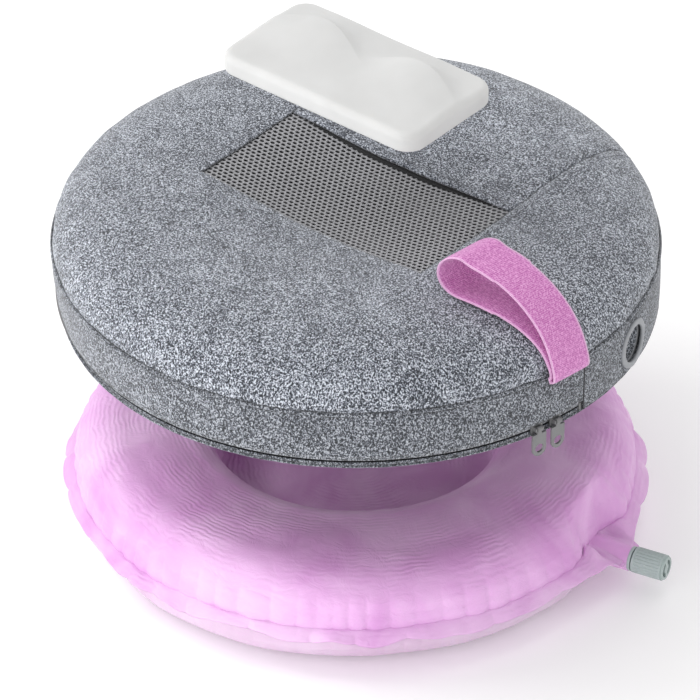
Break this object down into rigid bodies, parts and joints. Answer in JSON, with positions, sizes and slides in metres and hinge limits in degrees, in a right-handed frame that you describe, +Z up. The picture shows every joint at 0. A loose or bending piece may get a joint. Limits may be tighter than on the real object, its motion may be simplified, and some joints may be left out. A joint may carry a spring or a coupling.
{
  "type": "wobble cushion",
  "caption": "Round inflatable balance cushion: an air cell with a twist valve, a zipped fabric cover with a mesh window and carry loop, and a domed massage pad, held apart along one axis.",
  "frame": {"origin": "centre of the air cell's flat underside, on the floor", "axes": "+Z up along the cushion's axis; +X along the mesh window's long side, towards the strap, the zip's sliders and the valve; +Y towards the rear rim"},
  "size_m": [0.4344, 0.4094, 0.373],
  "materials": {
    "cell_upper": "satin, fine ripples",
    "cell_lower": "satin",
    "foam": "open-cell foam, matte",
    "valve_soft": "satin",
    "valve_plastic": "satin, ribbed",
    "seal": "matte",
    "melange": "grey melange knit, matte",
    "mesh": "perforated spacer mesh, matte",
    "lining": "woven lining, matte",
    "piping": "corded seam, matte",
    "base_cloth": "dotted anti-slip cloth, matte",
    "zip_dark": "satin",
    "zip_metal": "satin",
    "webbing": "ribbed elastic webbing, matte",
    "eyelet": "satin",
    "pad_foam": "smooth moulded foam, matte"
  },
  "bodies": {
    "air_cell": {"upper_skin": "cell_upper", "lower_skin": "cell_lower", "foam_core": "foam", "valve_boot": "valve_soft", "valve_body": "valve_plastic", "valve_o_ring": "seal"},
    "valve_stem": {"valve_plunger": "valve_plastic", "valve_seal": "seal"},
    "twist_cap": {"valve_cap": "valve_plastic"},
    "cover": {"top_panel": "melange", "rear_panel": "melange", "mesh_panel": "mesh", "pocket_liner": "lining", "side_band": "melange", "vent_panel": "melange", "top_piping": "piping", "base_panel": "base_cloth", "base_binding": "melange", "zip_teeth_upper": "zip_dark", "zip_teeth_lower": "zip_dark", "zip_tape": "zip_dark", "zip_stop_start": "zip_metal", "zip_stop_end": "zip_metal", "strap_anchor": "webbing", "vent_eyelet": "eyelet", "eyelet_backing": "eyelet"},
    "slider_left": {"zip_slider_left": "zip_metal"},
    "slider_right": {"zip_slider_right": "zip_metal"},
    "pull_left": {"zip_pull_left": "zip_metal"},
    "pull_right": {"zip_pull_right": "zip_metal"},
    "strap": {"carry_strap": "webbing"},
    "pad": {"massage_pad": "pad_foam"}
  },
  "joints": [
    {"name": "cap_twist", "type": "hinge", "parent": "valve_stem", "child": "twist_cap", "pos_m": [0.21631, 0.04994, 0.022], "axis": [0.9744, 0.225, 0], "range_deg": [0, 360]},
    {"name": "stem_slide", "type": "slide", "parent": "air_cell", "child": "valve_stem", "axis": [0.9744, 0.225, 0], "range_m": [0, 0.0025]},
    {"name": "cover_lift", "type": "slide", "parent": "air_cell", "child": "cover", "axis": [0, 0, 1], "range_m": [-0.1812, 0], "deforming": ["base_panel", "base_binding", "vent_panel", "vent_eyelet", "eyelet_backing"]},
    {"name": "pad_lift", "type": "slide", "parent": "cover", "child": "pad", "axis": [0, 0, 1], "range_m": [-0.1254, 0], "deforming": ["mesh_panel"]},
    {"name": "slider_left_run", "type": "hinge", "parent": "cover", "child": "slider_left", "pos_m": [0, 0, 0.1833], "axis": [0, 0, 1], "range_deg": [-200, 0]},
    {"name": "slider_right_run", "type": "hinge", "parent": "cover", "child": "slider_right", "pos_m": [0, 0, 0.1833], "axis": [0, 0, 1], "range_deg": [0, 4.5]},
    {"name": "pull_left_swing", "type": "hinge", "parent": "slider_left", "child": "pull_left", "pos_m": [0.19947, -0.05457, 0.1855], "axis": [0.2639, 0.9646, 0], "range_deg": [-95, 8]},
    {"name": "pull_right_swing", "type": "hinge", "parent": "slider_right", "child": "pull_right", "pos_m": [0.203, -0.03946, 0.1855], "axis": [0.1908, 0.9816, 0], "range_deg": [-95, 8]},
    {"name": "strap_swing", "type": "hinge", "parent": "cover", "child": "strap", "pos_m": [0.20457, -0.03094, 0.2238], "axis": [0.1495, 0.9888, 0], "range_deg": [0, 95]}
  ],
  "couplings": [
    {"joint": "cap_twist", "follows": "stem_slide", "rad_per_m": 2513.3}
  ]
}
